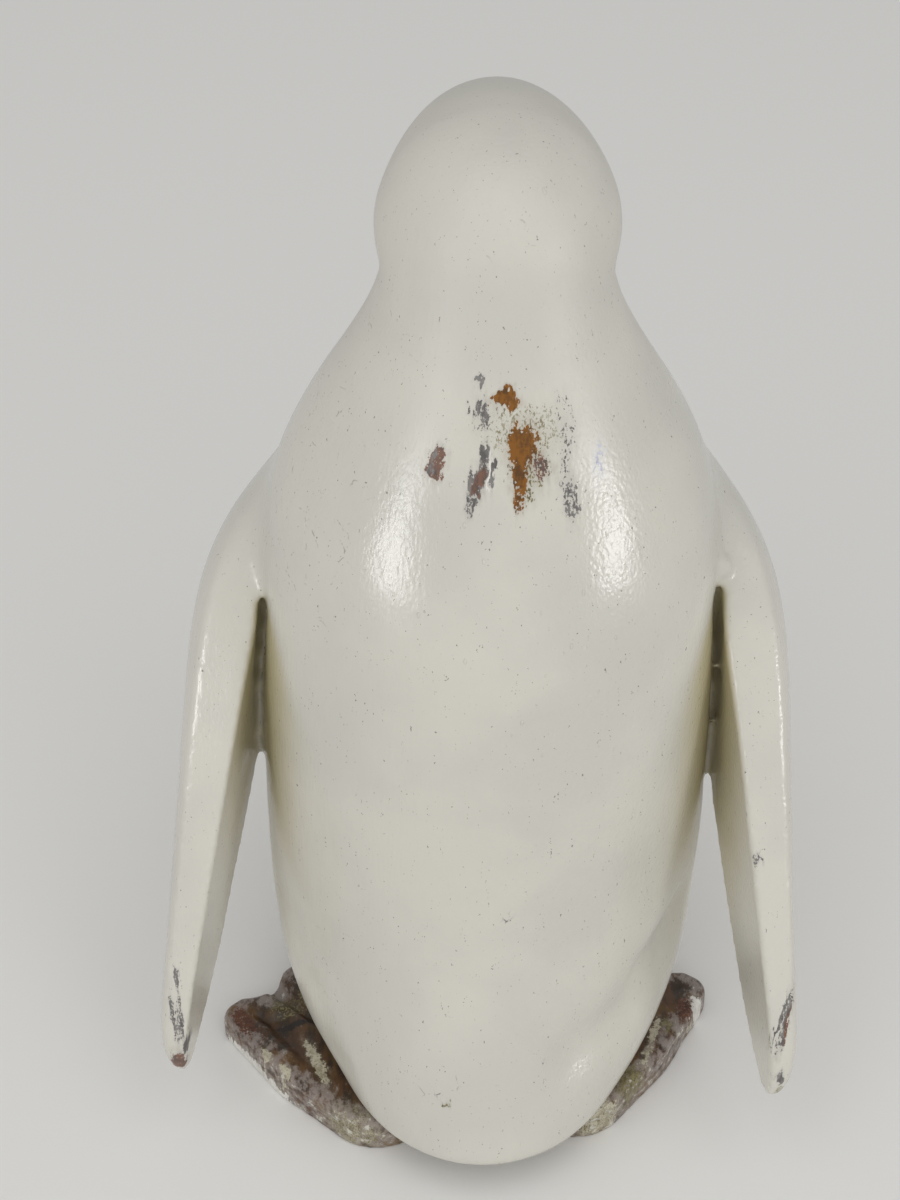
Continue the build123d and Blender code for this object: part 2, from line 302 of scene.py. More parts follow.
class WearMarks:
    """The random marks that all patches of one material share: frayed edges, speckles and tones."""

    DRIFT = (0.004, 0.002, 0.008)  # how far a patch is pulled apart, most along the brush strokes
    VEIL = 0.24  # strength of the smear around a patch

    def __init__(self, graph: Graph, place: bpy.types.NodeSocket) -> None:
        """Adds the noises, drawn out along the brush strokes.

        Args:
            graph: The material's graph.
            place: The place on the object.
        """
        streaks = graph.noise(graph.stretched(place, (1000.0, 1000.0, 120.0)), 1.0, 3.0, 0.6)
        blots = graph.noise(place, 400.0, 3.0, 0.6)
        grains = graph.noise(graph.stretched(place, (1900.0, 1900.0, 1200.0)), 1.0, 2.0, 0.6)
        feeds = {"Vector": graph.stretched(place, (650.0, 650.0, 110.0)), "Scale": 1.0, "Detail": 3.0}
        drift = graph.vector("SUBTRACT", graph.add("ShaderNodeTexNoise", feeds).outputs[1], (0.5,) * 3)
        drift = graph.vector("MULTIPLY", drift.outputs[0], self.DRIFT)
        self.graph = graph
        self.place = graph.vector("ADD", place, drift.outputs[0]).outputs[0]
        self.fray = graph.calc("MULTIPLY_ADD", graph.calc("ADD", streaks, blots), 1.8, -1.8)
        self.speckles = graph.ramp(graph.calc("MULTIPLY_ADD", streaks, 0.7, grains), 0.55, 1.15)
        self.tone = graph.ramp(graph.calc("ADD", streaks, blots), 0.85, 1.2)

    def lay(
        self, patch: Patch, colour: bpy.types.NodeSocket
    ) -> tuple[bpy.types.NodeSocket, bpy.types.NodeSocket]:
        """Lays one patch over a colour.

        Args:
            patch: The patch.
            colour: The colour below it.

        Returns:
            The colour with the patch, and where the patch shows, 0 to 1.
        """
        graph = self.graph
        edge = graph.calc("MULTIPLY_ADD", self.fray, patch.fray, patch.distance(graph, self.place))
        inside = graph.ramp(edge, 1.25, 0.65)
        shown = graph.calc("MULTIPLY_ADD", inside, patch.cover, self.speckles)
        shown = graph.ramp(shown, 0.97, 1.21)
        veil = graph.calc("MULTIPLY", graph.ramp(edge, 1.7, 0.5), self.VEIL * min(patch.cover, 1.0))
        tone = graph.mix(self.tone, *patch.layer.value)
        return graph.mix(graph.calc("MAXIMUM", shown, veil), colour, tone), shown


@dataclass(frozen=True)
class Finish:
    """A surface finish. Each kind builds one procedural material."""

    name: str

    def material(self) -> bpy.types.Material:
        """Builds the material.

        Returns:
            The new material.
        """
        made = bpy.data.materials.new(self.name)
        made.use_nodes = True
        self.dress(Graph(made.node_tree), made.node_tree.nodes["Principled BSDF"])
        return made

    def dress(self, graph: Graph, shader: bpy.types.Node) -> None:
        """Feeds the shader. Each kind of finish has its own way."""
        raise NotImplementedError


@dataclass(frozen=True)
class CreamPaint(Finish):
    """Thick cream gloss paint, brushed on, with age cracks, pits and worn places."""

    cream: Colour = shade(212, 209, 199)
    greyed: Colour = shade(203, 201, 192)
    # yellowed paint, darkened as painted shade, where a flipper and the torso face each other at close range
    yellowed_and_shaded: Colour = shade(186, 174, 128)
    crack: Colour = shade(132, 128, 116)
    pit: Colour = shade(112, 106, 98)
    gloss: float = 0.20  # roughness of the sound paint
    dull_gloss: float = 0.46  # roughness of the paint on the neck and the head
    dull_from: float = 0.218  # height where the paint begins to turn dull
    dull_to: float = 0.246  # height from which it is fully dull
    worn_gloss: float = 0.50  # roughness of what shows through
    brush_height: float = 0.00008  # of the brush strokes
    peel_height: float = 0.00010  # of the orange peel
    sunk_depth: float = 0.00012  # of the cracks and the pits
    crack_strength: float = 0.6  # how clearly a crack shows
    pit_strength: float = 0.8
    shade_and_yellowing_tint: float = 0.8  # how far the paint between the pieces is yellowed and darkened as painted shade
    worn: tuple[Patch, ...] = ()
    aged: tuple[Patch, ...] = ()

    def dress(self, graph: Graph, shader: bpy.types.Node) -> None:
        """Feeds the shader with paint, dirt, cracks and wear, one over the other.

        Args:
            graph: The material's graph.
            shader: The Principled shader.
        """
        place = graph.object_place()
        aged: Feed = 0.0
        for patch in self.aged:
            aged = graph.calc("MAXIMUM", aged, graph.ramp(patch.distance(graph, place), 1.1, 0.5))
        cracks = graph.calc("MULTIPLY", self._cracks(graph, place), aged)
        pits = self._pits(graph, place, 170.0, 0.80, 0.075)
        fine_pits = self._pits(graph, place, 400.0, 0.60, 0.10)
        pits = graph.calc("MAXIMUM", pits, graph.calc("MULTIPLY", fine_pits, aged))
        colour = graph.mix(cracks, self._sound_paint(graph, place), self.crack)
        colour = graph.mix(pits, colour, self.pit)
        marks = WearMarks(graph, place)
        bare: Feed = 0.0
        for patch in self.worn:
            colour, shown = marks.lay(patch, colour)
            bare = graph.calc("MAXIMUM", bare, shown)
        height = graph.add("ShaderNodeSeparateXYZ", {0: place}).outputs["Z"]
        dull = graph.ramp(height, self.dull_from, self.dull_to)
        rough = graph.calc("MULTIPLY_ADD", dull, self.dull_gloss - self.gloss, self.gloss)
        rough = graph.calc("MAXIMUM", rough, graph.calc("MULTIPLY", bare, self.worn_gloss))
        sunk = graph.calc("ADD", cracks, pits)
        graph.feed(shader.inputs["Base Color"], colour)
        graph.feed(shader.inputs["Roughness"], rough)
        graph.feed(shader.inputs["Normal"], self._relief(graph, place, sunk))

    def _sound_paint(self, graph: Graph, place: bpy.types.NodeSocket) -> bpy.types.NodeSocket:
        """The colour of the paint before wear: cream, greyer in clouds, yellowed and darkened with painted
        shade where a flipper and the torso face each other.

        Args:
            graph: The material's graph.
            place: The place on the object.

        Returns:
            The colour.
        """
        clouds = graph.ramp(graph.noise(place, 22.0, 4.0), 0.38, 0.68)
        shade_and_yellowing = graph.add("ShaderNodeAttribute", attribute_name=PaintedSkin.SHADE_AND_YELLOWING).outputs["Fac"]
        colour = graph.mix(clouds, self.cream, self.greyed)
        # yellowing and painted shade where the pieces face each other
        return graph.mix(graph.calc("MULTIPLY", shade_and_yellowing, self.shade_and_yellowing_tint), colour, self.yellowed_and_shaded)

    def _cracks(self, graph: Graph, place: bpy.types.NodeSocket) -> bpy.types.NodeSocket:
        """Short hairline cracks, the broken remains of a net of bent lines.

        Args:
            graph: The material's graph.
            place: The place on the object.

        Returns:
            The cracks, 0 to 1.
        """
        wobble = graph.add("ShaderNodeTexNoise", {"Vector": place, "Scale": 120.0}).outputs[1]
        bent = graph.vector("ADD", place, graph.stretched(wobble, (0.006,) * 3)).outputs[0]
        edge = graph.cells(bent, 130.0, "DISTANCE_TO_EDGE").outputs["Distance"]
        line = graph.ramp(edge, 0.018, 0.004)
        dotted = graph.ramp(graph.noise(place, 1000.0, 1.0), 0.46, 0.58)
        broken = graph.ramp(graph.noise(place, 150.0, 2.0), 0.54, 0.62)
        cracks = graph.calc("MULTIPLY", line, graph.calc("MULTIPLY", dotted, broken))
        return graph.calc("MULTIPLY", cracks, self.crack_strength)

    def _pits(
        self, graph: Graph, place: bpy.types.NodeSocket, scale: float, least: float, reach: float
    ) -> bpy.types.NodeSocket:
        """Small dark pits, scattered at random.

        Args:
            graph: The material's graph.
            place: The place on the object.
            scale: Places for a pit in one metre.
            least: Share of the places that stay empty.
            reach: Radius of the largest pit, as a share of the spacing.

        Returns:
            The pits, 0 to 1.
        """
        spots = graph.cells(place, scale, "F1")
        chosen = graph.add("ShaderNodeSeparateColor", {0: spots.outputs["Color"]}).outputs[0]
        size = graph.calc("MULTIPLY", graph.ramp(chosen, least, 1.0), reach)
        inside = graph.calc("SUBTRACT", size, spots.outputs["Distance"])
        return graph.calc("MULTIPLY", graph.ramp(inside, 0.0, 0.04), self.pit_strength)

    def _relief(
        self, graph: Graph, place: bpy.types.NodeSocket, sunk: bpy.types.NodeSocket
    ) -> bpy.types.NodeSocket:
        """The fine relief: brush strokes, most on the left, and orange peel, most on the right.

        Args:
            graph: The material's graph.
            place: The place on the object.
            sunk: Cracks and pits, 0 to 1.

        Returns:
            The normal.
        """
        across = graph.add("ShaderNodeSeparateXYZ", {0: place}).outputs["X"]
        leftness = graph.calc("MULTIPLY_ADD", graph.ramp(across, -0.015, 0.015), 0.7, 0.3)
        strokes = graph.noise(graph.stretched(place, (1100.0, 1100.0, 150.0)), 1.0, 2.0)
        normal = graph.bump(graph.calc("MULTIPLY", strokes, leftness), self.brush_height)
        peel = graph.noise(graph.stretched(place, (1050.0, 1050.0, 760.0)), 1.0, 1.0)
        peel = graph.calc("MULTIPLY", peel, graph.calc("SUBTRACT", 1.3, leftness))
        normal = graph.bump(peel, self.peel_height, normal)
        return graph.bump(graph.calc("MULTIPLY", sunk, -1.0), self.sunk_depth, normal)


@dataclass(frozen=True)
class RubbedWood(Finish):
    """Brown carved wood with the rubbed remains of cream paint, most of it on the rim and the walls, where a
    grey film also paints the rim's highlight.
    """

    dark: Colour = shade(52, 37, 22)
    brown: Colour = shade(90, 60, 32)
    ochre: Colour = shade(112, 84, 42)
    # grey of old paint, heaviest on the rim, where it is also a painted highlight
    film_and_rim_sheen: Colour = shade(150, 139, 133)
    paint: Colour = shade(204, 201, 188)
    grain_scale: Triple = (420.0, 90.0, 420.0)  # waves per metre; the grain runs from heel to toe
    grain_height: float = 0.00016
    fleck_height: float = 0.00012
    remains: tuple[Patch, ...] = ()

    def dress(self, graph: Graph, shader: bpy.types.Node) -> None:
        """Feeds the shader with grain, a grey film of old paint, which on the rim is also a painted
        highlight, and the last solid flecks of the paint.

        Args:
            graph: The material's graph.
            shader: The Principled shader.
        """
        place = graph.object_place()
        grain = graph.noise(graph.stretched(place, self.grain_scale), 1.0, 4.0, 0.6)
        colour = graph.mix(graph.ramp(grain, 0.38, 0.66), self.dark, self.brown)
        colour = graph.mix(graph.ramp(graph.noise(place, 90.0, 3.0), 0.50, 0.72), colour, self.ochre)
        film_and_rim_sheen, flecks = self._rubbed_paint(graph, place)
        colour = graph.mix(film_and_rim_sheen, colour, self.film_and_rim_sheen)
        marks = WearMarks(graph, place)
        for patch in self.remains:
            colour, _ = marks.lay(patch, colour)
        colour = graph.mix(flecks, colour, self.paint)
        normal = graph.bump(flecks, self.fleck_height, graph.bump(grain, self.grain_height))
        graph.feed(shader.inputs["Base Color"], colour)
        graph.feed(shader.inputs["Roughness"], graph.calc("MULTIPLY_ADD", grain, 0.2, 0.34))
        graph.feed(shader.inputs["Normal"], normal)

    def _rubbed_paint(
        self, graph: Graph, place: bpy.types.NodeSocket
    ) -> tuple[bpy.types.NodeSocket, bpy.types.NodeSocket]:
        """What is left of the paint on the rim and the walls, where its grey film also stands for a painted
        highlight.

        Args:
            graph: The material's graph.
            place: The place on the object.

        Returns:
            The grey film, partly a painted highlight on the rim, and the solid flecks, each 0 to 1.
        """
        rim = graph.add("ShaderNodeAttribute", attribute_name=Foot.RIM).outputs["Fac"]
        wall = graph.add("ShaderNodeAttribute", attribute_name=Foot.WALL).outputs["Fac"]
        rubbed = graph.noise(graph.stretched(place, (420.0, 260.0, 420.0)), 1.0, 5.0, 0.70)
        # the grey film, heaviest on the rim and the walls, partly a painted highlight there
        film_and_rim_sheen = graph.ramp(graph.calc("MULTIPLY_ADD", rim, 0.22, rubbed), 0.58, 0.78)
        flecks = graph.ramp(graph.calc("MULTIPLY_ADD", wall, 0.06, rubbed), 0.62, 0.70)
        return graph.calc("MULTIPLY", film_and_rim_sheen, 0.85), graph.calc("MULTIPLY", flecks, rim)


@dataclass(frozen=True)
class TurnedWood(Finish):
    """Plain pale wood of the hidden dowels."""

    pale: Colour = shade(206, 170, 120)
    streak: Colour = shade(172, 130, 82)

    def dress(self, graph: Graph, shader: bpy.types.Node) -> None:
        """Feeds the shader with a straight grain.

        Args:
            graph: The material's graph.
            shader: The Principled shader.
        """
        grain = graph.noise(graph.stretched(graph.object_place(), (700.0, 700.0, 60.0)), 1.0, 3.0)
        graph.feed(shader.inputs["Base Color"], graph.mix(grain, self.pale, self.streak))
        graph.feed(shader.inputs["Roughness"], graph.calc("MULTIPLY_ADD", grain, 0.2, 0.5))
        graph.feed(shader.inputs["Normal"], graph.bump(grain, 0.0001))


@dataclass(frozen=True)
class BlackBead(Finish):
    """Polished black glass with a little dust in the polish."""

    black: Colour = (0.008, 0.008, 0.010, 1.0)
    dusty: Colour = (0.03, 0.028, 0.026, 1.0)

    def dress(self, graph: Graph, shader: bpy.types.Node) -> None:
        """Feeds the shader with a little dust in the polish.

        Args:
            graph: The material's graph.
            shader: The Principled shader.
        """
        dust = graph.ramp(graph.noise(graph.object_place(), 700.0, 3.0), 0.5, 0.75)
        graph.feed(shader.inputs["Base Color"], graph.mix(dust, self.black, self.dusty))
        graph.feed(shader.inputs["Roughness"], graph.calc("MULTIPLY_ADD", dust, 0.15, 0.06))


@dataclass(frozen=True)
class PaleSheet(Finish):
    """The matt pale sheet that the figure stands on."""

    pale: Colour = shade(240, 239, 236)
    roughness: float = 0.9

    def dress(self, graph: Graph, shader: bpy.types.Node) -> None:
        """Feeds the shader with one pale, matt colour."""
        graph.feed(shader.inputs["Base Color"], self.pale)
        graph.feed(shader.inputs["Roughness"], self.roughness)


class Form:
    """A closed voxel form of one or more solids, with its points as one array."""

    def __init__(self, mesh: bpy.types.Mesh) -> None:
        """Reads a mesh.

        Args:
            mesh: The mesh, which later calls of store() change.
        """
        self.mesh = mesh
        self.points = np.empty((len(mesh.vertices), 3))
        mesh.vertices.foreach_get("co", self.points.ravel())
        self.edges = np.empty((len(mesh.edges), 2), dtype=np.int32)
        mesh.edges.foreach_get("vertices", self.edges.ravel())
        ends = self.edges.ravel()
        self.degree = np.bincount(ends, minlength=len(self.points))[:, None]

    @classmethod
    def of(cls, meshes: Sequence[bpy.types.Mesh], voxel: float) -> "Form":
        """Joins closed meshes into one form and drops what is closed in inside it.

        Args:
            meshes: The meshes.
            voxel: The grid's spacing.

        Returns:
            The form.
        """
        joined = bpy.data.meshes.new("joined")
        whole = bmesh.new()
        for mesh in meshes:
            whole.from_mesh(mesh)
        whole.to_mesh(joined)
        whole.free()
        holder = bpy.data.objects.new("joined", joined)
        bpy.context.scene.collection.objects.link(holder)
        remesh = holder.modifiers.new("voxels", "REMESH")
        remesh.mode = "VOXEL"
        remesh.voxel_size = voxel
        mesh = plain_mesh(holder)
        bpy.data.objects.remove(holder)
        keep_largest_shell(mesh)
        return cls(mesh)

    def relax(self, rounds: int, weight: np.ndarray | float, strength: float = 0.5) -> None:
        """Moves each point towards the middle of its neighbours.

        Args:
            rounds: Number of rounds.
            weight: How much each point follows, 0 to 1.
            strength: The step of one round. A negative step swells the form again.
        """
        first, second = self.edges.T
        count = len(self.points)
        step = np.broadcast_to(np.asarray(weight, dtype=float) * strength, (count,))[:, None]
        for _ in range(rounds):
            total = np.empty_like(self.points)
            for axis in range(3):
                values = self.points[:, axis]
                total[:, axis] = np.bincount(first, values[second], count)
                total[:, axis] += np.bincount(second, values[first], count)
            self.points += step * (total / self.degree - self.points)

    def even_out(self, rounds: int) -> None:
        """Takes out the steps of the grid and keeps the size of the form."""
        for _ in range(rounds):
            self.relax(1, 1.0, 0.5)
            self.relax(1, 1.0, -0.52)

    def blur(self, values: np.ndarray, rounds: int) -> np.ndarray:
        """Averages values over neighbouring points.

        Args:
            values: One value for each point.
            rounds: Number of rounds.

        Returns:
            The averaged values.
        """
        first, second = self.edges.T
        count = len(values)
        for _ in range(rounds):
            total = np.bincount(first, values[second], count) + np.bincount(second, values[first], count)
            values = (values + total / self.degree[:, 0]) / 2
        return values

    def nearest(self, tree: BVHTree) -> tuple[np.ndarray, np.ndarray]:
        """Finds the nearest place on a solid for each point.

        Args:
            tree: The solid's search tree.

        Returns:
            The distances, and how squarely each point faces that place, -1 to 1.
        """
        found = np.array([tree.find_nearest(point)[0] for point in self.points])
        offsets = found - self.points
        distance = np.linalg.norm(offsets, axis=1)
        facing = (offsets * self.normals()).sum(axis=1) / np.maximum(distance, MM / 100)
        return distance, facing

    def store(self) -> bpy.types.Mesh:
        """Writes the points back to the mesh and returns it."""
        self.mesh.vertices.foreach_set("co", self.points.astype(np.float32).ravel())
        self.mesh.update()
        return self.mesh

    def mark(self, name: str, values: np.ndarray) -> None:
        """Keeps one value for each point as a mesh attribute."""
        self.mesh.attributes.new(name, "FLOAT", "POINT").data.foreach_set("value", values.astype(np.float32))

    def normals(self) -> np.ndarray:
        """The normals of the points where they are now.

        Returns:
            One unit vector for each point.
        """
        self.store()
        normals = np.empty((len(self.points), 3), dtype=np.float32)
        self.mesh.vertex_normals.foreach_get("vector", normals.ravel())
        return normals


def plain_mesh(holder: bpy.types.Object) -> bpy.types.Mesh:
    """The mesh that an object's modifiers give, as plain data."""
    depsgraph = bpy.context.evaluated_depsgraph_get()
    return bpy.data.meshes.new_from_object(holder.evaluated_get(depsgraph))


def keep_largest_shell(mesh: bpy.types.Mesh) -> None:
    """Removes every loose part of a mesh but the one with the most points.

    Args:
        mesh: The mesh to clean.
    """
    form = bmesh.new()
    form.from_mesh(mesh)
    unseen = set(form.verts)
    shells = []
    while unseen:
        shell, front = set(), [unseen.pop()]
        while front:
            vert = front.pop()
            shell.add(vert)
            fresh = {edge.other_vert(vert) for edge in vert.link_edges} & unseen
            unseen -= fresh
            front.extend(fresh)
        shells.append(shell)
    shells.sort(key=len)
    for shell in shells[:-1]:
        bmesh.ops.delete(form, geom=list(shell), context="VERTS")
    form.to_mesh(mesh)
    form.free()


class Solid:
    """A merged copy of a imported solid, with a search tree of its surface."""

    def __init__(self, node: bpy.types.Object) -> None:
        """Copies a node, which stays as it is.

        Args:
            node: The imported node.
        """
        copy = bmesh.new()
        copy.from_mesh(node.data)
        bmesh.ops.remove_doubles(copy, verts=copy.verts, dist=MM / 100)
        self.tree = BVHTree.FromBMesh(copy)
        self.mesh = bpy.data.meshes.new(f"{node.name}_copy")
        copy.to_mesh(self.mesh)
        copy.free()


def add_piece(name: str, mesh: bpy.types.Mesh) -> bpy.types.Object:
    """Adds a mesh to the scene as a smooth-shaded object at the origin."""
    mesh.shade_smooth()
    piece = bpy.data.objects.new(name, mesh)
    bpy.context.scene.collection.objects.link(piece)
    return piece


def hold_inside(mesh: bpy.types.Mesh, nodes: Sequence[str]) -> None:
    """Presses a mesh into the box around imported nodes, where waves lifted it out by a hair.

    Args:
        mesh: The mesh.
        nodes: The nodes.
    """
    lows, highs = zip(*(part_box(node) for node in nodes))
    points = np.empty((len(mesh.vertices), 3), dtype=np.float32)
    mesh.vertices.foreach_get("co", points.ravel())
    points = np.clip(points, np.min(lows, axis=0), np.max(highs, axis=0))
    mesh.vertices.foreach_set("co", points.astype(np.float32).ravel())
    mesh.update()


def hand_in(piece: bpy.types.Object, node: str) -> None:
    """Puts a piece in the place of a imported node.

    Args:
        piece: The finished piece.
        node: The node that it stands for.
    """
    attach(piece, BODY)
    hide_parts(node)
    log.info("%s: %d points in place of %s", piece.name, len(piece.data.vertices), node)


class HandWork:
    """A Geometry Nodes tree for hand-made surfaces: slow waves from the knife, and nibs in the paint."""

    def __init__(self) -> None:
        """Builds the tree."""
        self.tree = bpy.data.node_groups.new("hand_work", "GeometryNodeTree")
        inputs = (
            ("Geometry", "NodeSocketGeometry"),
            ("Wave Depth", "NodeSocketFloat"),
            ("Wave Length", "NodeSocketFloat"),
            ("Nib Density", "NodeSocketFloat"),
            ("Nib Radius", "NodeSocketFloat"),
            ("Nib Centre", "NodeSocketVector"),
            ("Nib Spread", "NodeSocketFloat"),
            ("Seed", "NodeSocketInt"),
            ("Material", "NodeSocketMaterial"),
        )
        interface = self.tree.interface
        self.sockets = {
            name: interface.new_socket(name, in_out="INPUT", socket_type=kind).identifier
            for name, kind in inputs
        }
        interface.new_socket("Geometry", in_out="OUTPUT", socket_type="NodeSocketGeometry")
        self._grow()

    def _grow(self) -> None:
        """Adds the nodes: waves along the normals, then nibs, then one mesh with one material."""
        graph = Graph(self.tree)
        given = graph.add("NodeGroupInput").outputs
        place = graph.add("GeometryNodeInputPosition").outputs[0]
        normal = graph.add("GeometryNodeInputNormal").outputs[0]
        scale = graph.calc("DIVIDE", 1.0, given["Wave Length"])
        feeds = {"Vector": place, "W": given["Seed"], "Scale": scale, "Detail": 1.0}
        noise = graph.add("ShaderNodeTexNoise", feeds, noise_dimensions="4D").outputs[0]
        height = graph.calc("MULTIPLY", graph.calc("SUBTRACT", noise, 0.5), given["Wave Depth"])
        offset = graph.vector("SCALE", normal)
        graph.feed(offset.inputs["Scale"], height)
        feeds = {"Geometry": given["Geometry"], "Offset": offset.outputs[0]}
        waved = graph.add("GeometryNodeSetPosition", feeds).outputs[0]
        both = graph.add("GeometryNodeJoinGeometry")
        for part in (self._nibs(graph, given, waved, place), waved):
            graph.tree.links.new(part, both.inputs[0])
        real = graph.add("GeometryNodeRealizeInstances", {0: both.outputs[0]}).outputs[0]
        feeds = {"Geometry": real, "Material": given["Material"]}
        dressed = graph.add("GeometryNodeSetMaterial", feeds).outputs[0]
        graph.add("NodeGroupOutput", {0: dressed})

    def _nibs(
        self, graph: Graph, given: Any, surface: bpy.types.NodeSocket, place: bpy.types.NodeSocket
    ) -> bpy.types.NodeSocket:
        """Scatters flat nibs of paint, thinning out with the distance from one place.

        Args:
            graph: The tree's graph.
            given: The group's inputs.
            surface: The surface that they sit on.
            place: The place on the surface.

        Returns:
            The nibs, as instances.
        """
        away = graph.vector("DISTANCE", place, given["Nib Centre"]).outputs["Value"]
        spreads = graph.calc("DIVIDE", away, given["Nib Spread"])
        near = graph.calc("EXPONENT", graph.calc("MULTIPLY", -1.0, spreads))
        feeds = {
            "Mesh": surface,
            "Density": graph.calc("MULTIPLY", near, given["Nib Density"]),
            "Seed": given["Seed"],
        }
        spots = graph.add("GeometryNodeDistributePointsOnFaces", feeds)
        bead = graph.add("GeometryNodeMeshIcoSphere", {"Radius": given["Nib Radius"], "Subdivisions": 2})
        flat = graph.add("GeometryNodeTransform", {0: bead.outputs[0], "Scale": (0.7, 1.5, 0.35)})
        size = graph.add("FunctionNodeRandomValue", {2: 0.5, 3: 1.2, "Seed": given["Seed"]})
        feeds = {
            "Points": spots.outputs["Points"],
            "Instance": flat.outputs[0],
            "Rotation": spots.outputs["Rotation"],
            "Scale": size.outputs[1],
        }
        return graph.add("GeometryNodeInstanceOnPoints", feeds).outputs[0]

    def apply(self, piece: bpy.types.Object, material: bpy.types.Material, **sizes: Any) -> None:
        """Works a piece over and leaves it as a plain mesh.

        Args:
            piece: The piece.
            material: The material that all of it gets.
            **sizes: Inputs of the tree, with underscores for spaces and in lower case.
        """
        modifier = piece.modifiers.new("hand_work", "NODES")
        modifier.node_group = self.tree
        modifier[self.sockets["Material"]] = material
        for name, value in sizes.items():
            modifier[self.sockets[name.replace("_", " ").title()]] = value
        mesh = plain_mesh(piece)
        piece.modifiers.clear()
        piece.data = mesh
        mesh.shade_smooth()


@dataclass(frozen=True)
class Joint:
    """A glued joint between the torso and another piece, filled and rounded off under the paint."""

    node: str
    reach: float  # how far the filler spreads from the joint
    crisp_at: Vector  # the end of the joint that stays a crease
    soft_at: Vector  # the end where the filler makes one flowing surface
    least: float = 0.0  # how much filler there is at the crisp end, 0 to 1
    slit: float = 0.0  # how far the two pieces stand apart below the crisp end
    slit_run: float = 0.006  # height over which the slit opens
    slit_front: float = 0.005  # the slit is open behind this depth, and the dowels in front stay hidden

    def filler(self, points: np.ndarray, apart: np.ndarray) -> np.ndarray:
        """How much the filler rounds the form at each point.

        Args:
            points: The points of the form.
            apart: The larger of each point's distances from the two pieces.

        Returns:
            The share, 0 to 1.
        """
        run = np.array(self.soft_at - self.crisp_at)
        along = (points - np.array(self.crisp_at)) @ run / (run @ run)
        softness = self.least + (1 - self.least) * smoothstep(0.0, 1.0, along)
        return smoothstep(self.reach, 0.0, apart) * softness

    def open_slit(self, form: Form, other: Solid) -> None:
        """Cuts a surface back where it would touch the other piece below the joint.

        Args:
            form: The form of one of the two pieces.
            other: The other piece.
        """
        distance, facing = form.nearest(other.tree)
        below = smoothstep(0.0, self.slit_run, self.crisp_at.z - form.points[:, 2])
        behind = smoothstep(self.slit_front, self.slit_front + self.slit_run, form.points[:, 1])
        short = np.maximum(0.0, self.slit - distance) / 2
        depth = form.blur(short * below * behind * smoothstep(0.2, 0.6, facing), 3)
        form.points -= form.normals() * depth[:, None]


@dataclass(frozen=True)
class Hollow:
    """A soft hollow that the knife left along a line."""

    line: tuple[Triple, ...]  # in millimetres
    radius: float
    depth: float

    def carve(self, form: Form) -> None:
        """Sinks the surface of a form along the line.

        Args:
            form: The form.
        """
        away = np.full(len(form.points), np.inf)
        for start, end in zip(self.line, self.line[1:]):
            base, run = np.array(start) * MM, (np.array(end) - np.array(start)) * MM
            share = np.clip((form.points - base) @ run / (run @ run), 0.0, 1.0)
            away = np.minimum(away, np.linalg.norm(form.points - base - share[:, None] * run, axis=1))
        form.points -= form.normals() * (self.depth * np.exp(-((away / self.radius) ** 2)))[:, None]


@dataclass(frozen=True)
class Drop:
    """A drop of paint or filler: a run in an armpit, or what covers a dowel in a joint."""

    centre: Triple  # in millimetres
    half_size: Triple

    def mesh(self) -> bpy.types.Mesh:
        """Builds the drop.

        Returns:
            A closed mesh.
        """
        drop = bmesh.new()
        bmesh.ops.create_icosphere(drop, subdivisions=3, radius=MM)
        place = Matrix.Translation(Vector(self.centre) * MM) @ Matrix.Diagonal((*self.half_size, 1.0))
        bmesh.ops.transform(drop, matrix=place, verts=drop.verts)
        mesh = bpy.data.meshes.new("drop")
        drop.to_mesh(mesh)
        drop.free()
        return mesh


